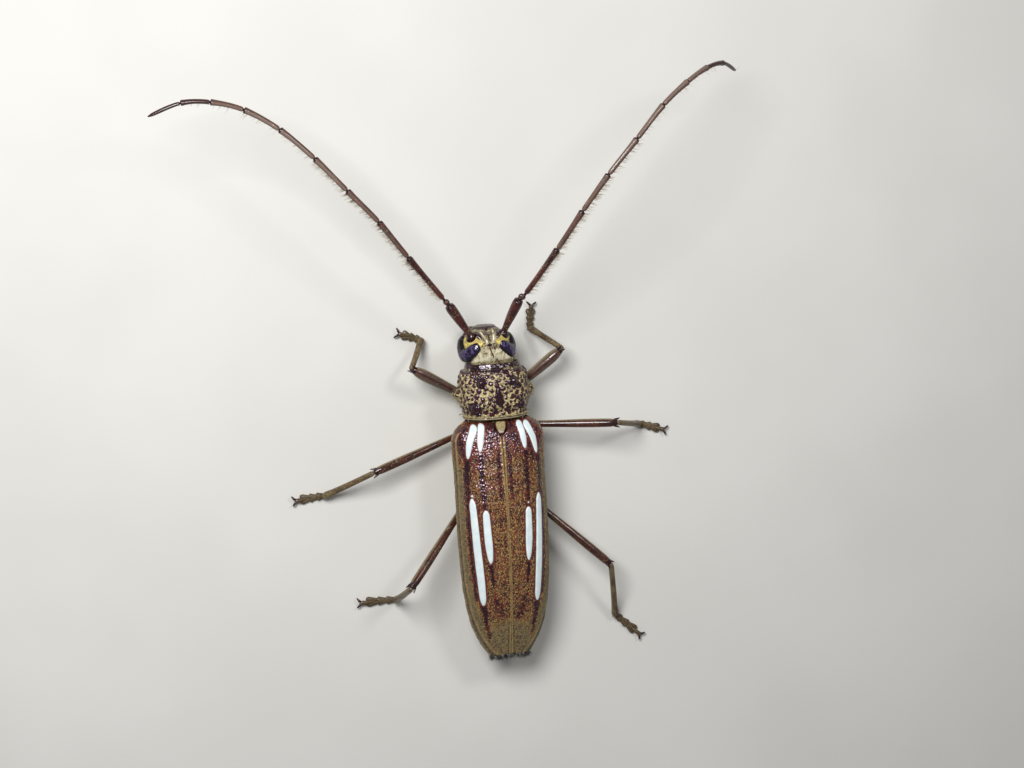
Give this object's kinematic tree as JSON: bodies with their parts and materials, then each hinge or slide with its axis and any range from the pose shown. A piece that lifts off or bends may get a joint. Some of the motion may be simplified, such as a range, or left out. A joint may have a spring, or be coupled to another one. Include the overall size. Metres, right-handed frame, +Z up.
{
  "type": "longhorn beetle",
  "caption": "Life-size longhorn beetle standing still, with long raised feelers, a granulated pronotum and raised ivory stripes on glossy dark brown elytra.",
  "frame": {"origin": "the middle of the beetle's whole footprint, feelers included, on the floor under its feet", "axes": "+Z up from the floor; the beetle faces -Y, and its own left side is +X"},
  "size_m": [0.0504, 0.0526, 0.0139],
  "materials": {
    "body_hair": "khaki-yellow down over dark red-brown cuticle, with glossy granules",
    "elytra": "glossy dark mahogany, finely pitted, with olive-gold down and smooth ivory stripes",
    "eye": "glossy violet-black, finely faceted",
    "mouth_horn": "glossy black horn",
    "underside": "dark brown cuticle under short khaki down",
    "thigh": "glossy dark red-brown with short pale down",
    "shin": "brown cuticle under dense khaki down",
    "feeler": "satin reddish-brown, darker at each joint"
  },
  "bodies": {
    "root": {"abdomen": "underside", "coxa_front_left": "thigh", "coxa_front_right": "thigh", "coxa_hind_left": "thigh", "coxa_hind_right": "thigh", "coxa_mid_left": "thigh", "coxa_mid_right": "thigh", "elytron_left": "elytra", "elytron_right": "elytra", "eye_left": "eye", "eye_right": "eye", "feeler_left_03": "feeler", "feeler_left_04": "feeler", "feeler_left_05": "feeler", "feeler_left_06": "feeler", "feeler_left_07": "feeler", "feeler_left_08": "feeler", "feeler_left_09": "feeler", "feeler_left_10": "feeler", "feeler_left_11": "feeler", "feeler_left_scape": "feeler", "feeler_right_03": "feeler", "feeler_right_04": "feeler", "feeler_right_05": "feeler", "feeler_right_06": "feeler", "feeler_right_07": "feeler", "feeler_right_08": "feeler", "feeler_right_09": "feeler", "feeler_right_10": "feeler", "feeler_right_11": "feeler", "feeler_right_scape": "feeler", "femur_front_left": "thigh", "femur_front_right": "thigh", "femur_hind_left": "thigh", "femur_hind_right": "thigh", "femur_mid_left": "thigh", "femur_mid_right": "thigh", "head": "body_hair", "labrum": "mouth_horn", "mandible_left": "mouth_horn", "mandible_right": "mouth_horn", "palp_left": "feeler", "palp_right": "feeler", "prothorax": "body_hair", "pterothorax": "underside", "scutellum": "body_hair", "tarsus_front_left": "shin", "tarsus_front_right": "shin", "tarsus_hind_left": "shin", "tarsus_hind_right": "shin", "tarsus_mid_left": "shin", "tarsus_mid_right": "shin", "tibia_front_left": "shin", "tibia_front_right": "shin", "tibia_hind_left": "shin", "tibia_hind_right": "shin", "tibia_mid_left": "shin", "tibia_mid_right": "shin"}
  },
  "joints": []
}
